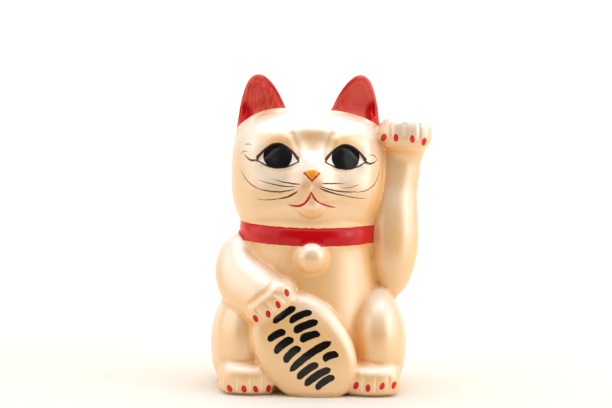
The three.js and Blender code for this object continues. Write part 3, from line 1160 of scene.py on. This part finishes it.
# Painted light: a light tan over the valley between the jaw and the top of the collar, where shade
# falls.
lit_neck_band = (collar_height.over(COLLAR_HIGH + 0.9, 0.5) * collar_height.under(COLLAR_HIGH + 5, 3)
             * neck_share.under(1.0, 0.04))
spot_shade = ovals(SHADE_SPOTS).larger(0)
wide_fold = glaze.attribute("wide_fold")
seam = glaze.attribute("seam")
CLOUD_SCALE = 0.03
HEIGHT_HIGHLIGHT = 0.0035
LIT_JAW_SPOT = (0, 97, 38, 11, 0)
cloud = glaze.noise(place, CLOUD_SCALE, detail=3.0)
# Painted highlight: paler where the surface faces up, and more so the higher it stands.
top_highlight = (face_up + (cloud - 0.5) * 0.5 + z.times_plus(HEIGHT_HIGHLIGHT, -0.3)).over(0.4, 0.8)
top_highlight = top_highlight.larger(spot_highlight * 0.65)
# Painted light: the jaw is lightened to a light tan and kept free of the painted fold shade.
jaw = ovals([LIT_JAW_SPOT]).over(0.2, 0.5) * front
# Painted shade, deepest in the wide folds.
shade = (wide_fold + cloud - 0.5).over(0.5, 1.2) * (1 - jaw)
# The base is laid on first, then the painted highlight where it faces up, the painted light on the
# jaw, the painted shade over the lids, the painted amber shade, the painted seam highlights and the
# painted light on the neck.
lit_shaded_glaze = glaze.mix(top_highlight, CHAMPAGNE, PEARL_HIGHLIGHT)
lit_shaded_glaze = glaze.mix(jaw * 0.85, lit_shaded_glaze, LIT_TAN)
lit_shaded_glaze = glaze.mix(ovals(LID_SHADE_SPOTS).larger(0) * front, lit_shaded_glaze, LID_SHADE_TAN)
lit_shaded_glaze = glaze.mix(shade.larger(spot_shade * front).larger(crease_shade) * 0.75, lit_shaded_glaze, SHADE_AMBER)
lit_shaded_glaze = glaze.mix(seam.over(0.33, 0.1).larger(highlight_lines) * 0.75, lit_shaded_glaze, SEAM_HIGHLIGHT)
lit_shaded_glaze = glaze.mix(lit_neck_band * 0.8, lit_shaded_glaze, LIT_TAN)

# %% Painted colours
RED = (0.56, 0.001, 0.004)
LIGHT_RED = (0.74, 0.025, 0.02)
EAR_CORNER_RED = (0.60, 0.001, 0.003)
EAR_RED = (0.64, 0.04, 0.025)
EAR_PINK = (0.76, 0.09, 0.065)
INK = (0.005, 0.004, 0.004)
CREAM = (0.88, 0.76, 0.62)
YELLOW = (0.84, 0.36, 0.002)
BROWN = (0.085, 0.035, 0.02)

painted = glaze.mix(opening * front, lit_shaded_glaze, CREAM)
painted = glaze.mix(nose_yellow, painted, YELLOW)
# The ear fronts mix their red with a lighter pink: in random brush streaks on both ears, and over
# most of the left ear as a painted reflection. The rim strokes keep the plain red.
streaks = glaze.noise(place * (1, 1, 0.25), 0.6, detail=3.0).over(0.52, 0.25)
# Painted highlight: the red paint turns lighter towards the sides, beyond about 34 mm from the
# middle, with random mottling.
mottle_and_side_highlight = (cloud - 0.5) * 1.5 + x.size().over(34, 24)
red_paint = glaze.mix(ear_red * (1 - rim_red), glaze.mix(mottle_and_side_highlight, RED, LIGHT_RED),
                      glaze.mix(streaks.larger(x.over(20, 10) * 0.8), EAR_RED, EAR_PINK))
red_paint = glaze.mix(ear_corner_shade * ear_red, red_paint, EAR_CORNER_RED)
painted = glaze.mix(red, painted, red_paint)
painted = glaze.mix(dark_lines, painted, BROWN)
black = (iris * front).larger(ink)
painted = glaze.mix(black, painted, INK)
paint = black.larger(red).larger(nose_yellow).larger(dark_lines)
bare = 1 - paint

# %% [markdown]
# ## Gloss, orange peel and the bare foot
#
# A pearl coat is a film of metal oxide flakes, and its high index makes a strong white sheen
# over the warm base. Little of it reaches the folds. The red and black are gloss paints.
# Sprayed lacquer is never quite flat, so a shallow noise bends the surface like the peel of
# an orange. The underside stood on the kiln shelf, and is bare matt clay.

# %% Gloss
GLAZE_ROUGHNESS = 0.5
RED_ROUGHNESS = 0.12
EAR_ROUGHNESS = 0.35
BLACK_ROUGHNESS = 0.15
PEARL_IOR = 2.6
PEARL_ROUGHNESS = 0.33
PAINT_SPECULAR = 0.3
# The ear corners with painted shade are also a little metallic.
EAR_CORNER_METAL = 0.3
PEEL_SCALE = 0.35
PEEL_DEPTH = 0.03
PEEL_STRENGTH = 0.5
UNDERSIDE_EDGE = 0.25
BARE_CLAY = (0.80, 0.70, 0.56)
FOLD_SHEEN = 0.4

underside = z.under(UNDERSIDE_EDGE, 0.2)
in_folds = shade.larger(crease_shade).larger(lit_neck_band)
glazed = bare * (1 - underside) * in_folds.times_plus(FOLD_SHEEN - 1, 1)
painted = glaze.mix(underside, painted, BARE_CLAY)
roughness = bare.times_plus(GLAZE_ROUGHNESS - RED_ROUGHNESS, RED_ROUGHNESS)
matt_red = ear_red * (1 - ear_corner_shade)
roughness = matt_red.times_plus(EAR_ROUGHNESS - RED_ROUGHNESS, roughness) + underside * 0.3
roughness = black.times_plus(BLACK_ROUGHNESS - RED_ROUGHNESS, roughness)
peel = glaze.node("ShaderNodeBump", {}, {
    "Strength": PEEL_STRENGTH, "Distance": PEEL_DEPTH * MM,
    "Height": glaze.noise(place, PEEL_SCALE, 1.0)})
cat.data.materials.clear()
cat.data.materials.append(glaze.finish(
    Base_Color=painted, Metallic=ear_corner_shade * ear_red * EAR_CORNER_METAL, Roughness=roughness, Normal=peel,
    Coat_Weight=glazed, Coat_IOR=PEARL_IOR, Coat_Roughness=PEARL_ROUGHNESS,
    Specular_IOR_Level=PAINT_SPECULAR))
print("nodes in the glaze:", len(glaze.tree.nodes))

# %% [markdown]
# ## The sweep
#
# A product is photographed on a sheet of pale paper that curves up behind it, so no horizon
# shows. The sheet is a plane whose back edge is spun through a quarter turn and then drawn
# up. It is the stage, and no part of the object.

# %% Floor and backdrop
FLOOR_FRONT = -0.5
WALL_AT = 1.2
WALL_TOP = 2.2
SWEEP = 0.5


def stage_sweep():
    select_none()
    bpy.ops.mesh.primitive_plane_add(size=1, location=(0, 0, 0))
    floor = bpy.context.object
    floor.name = "studio_sweep"
    bpy.ops.object.mode_set(mode="EDIT")
    bpy.ops.transform.resize(value=(6, 1, 1))
    sheet = bmesh.from_edit_mesh(floor.data)
    for vertex in sheet.verts:
        vertex.co.y = FLOOR_FRONT if vertex.co.y < 0 else WALL_AT - SWEEP
    bpy.ops.mesh.select_all(action="DESELECT")
    for edge in sheet.edges:
        edge.select = all(v.co.y > 0 for v in edge.verts)
    bmesh.update_edit_mesh(floor.data)
    bpy.ops.mesh.spin(steps=24, angle=-math.pi / 2, axis=(1, 0, 0),
                      center=(0, WALL_AT - SWEEP, SWEEP))
    bpy.ops.mesh.extrude_edges_move(TRANSFORM_OT_translate={"value": (0, 0, WALL_TOP - SWEEP)})
    bpy.ops.object.mode_set(mode="OBJECT")
    bpy.ops.object.shade_smooth()
    return floor


floor = stage_sweep()
print("sweep", [round(n, 2) for n in floor.dimensions])
PAPER = (0.80, 0.76, 0.70)
PAPER_ROUGHNESS = 0.8
paper = Bench(bpy.data.materials.new("backdrop_paper"))
floor.data.materials.append(paper.finish(Base_Color=PAPER, Roughness=PAPER_ROUGHNESS))

# %% [markdown]
# ## Light
#
# A pearl glaze shows what it reflects more than its own colour, so the light makes the
# picture. A large softbox overhead turns everything that faces up almost white. Wide windows
# to the right and left draw the bright flanks, and a narrow strip draws a sharper line on the
# arm and haunch. One more lamp washes the paper behind. The room itself is pale above and at
# the sides, and dark behind the camera, which gives the forms their depth.

# %% Lights
LIGHT_AIM = Vector((0, 0, 0.09))


def softbox(name, azimuth, elevation, distance, size, radiance, aim=LIGHT_AIM):
    """A panel of light. Azimuth 0 is in front of the cat, and positive is to the right."""
    lamp = bpy.data.lights.new(name, "AREA")
    lamp.shape = "RECTANGLE"
    lamp.size, lamp.size_y = size
    lamp.energy = radiance * math.pi * size[0] * size[1]
    box = bpy.data.objects.new(name, lamp)
    bpy.context.scene.collection.objects.link(box)
    turn, rise = math.radians(azimuth), math.radians(elevation)
    towards = Vector((math.sin(turn) * math.cos(rise), -math.cos(turn) * math.cos(rise),
                      math.sin(rise)))
    box.location = LIGHT_AIM + towards * distance
    box.rotation_euler = (Vector(aim) - box.location).to_track_quat("-Z", "Y").to_euler()


softbox("top_softbox", 180, 84, 1.1, (1.5, 1.3), 1.85)
softbox("right_window", 78, 15, 1.3, (1.6, 1.5), 1.15)
softbox("right_strip", 68, 16, 1.25, (0.28, 1.0), 1.9)
softbox("left_window", -80, 16, 1.3, (1.56, 1.4), 0.95)
softbox("wall_wash", 180, 50, 1.0, (1.4, 0.3), 3.0, aim=(0, 1.2, 0.5))
print("lamps:", len(bpy.data.lights))

room = Bench(bpy.data.worlds.new("studio"), "Background")
away = room.node("ShaderNodeTexCoord", output="Generated").parts()
ceiling = away[2].over(0.6, 0.5)
sides = away[0].size().over(0.7, 0.5)
ROOM_DARK = 0.14
ROOM_SIDE = 0.45
ROOM_CEILING = 0.6
bpy.context.scene.world = room.finish(
    Color=(1, 1, 1), Strength=sides * ROOM_SIDE + ceiling.times_plus(ROOM_CEILING, ROOM_DARK))
bpy.context.scene.view_settings.view_transform = "Standard"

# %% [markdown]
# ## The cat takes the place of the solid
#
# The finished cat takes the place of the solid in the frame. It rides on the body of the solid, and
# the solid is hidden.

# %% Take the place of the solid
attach(cat, "root")
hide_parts(NODE)
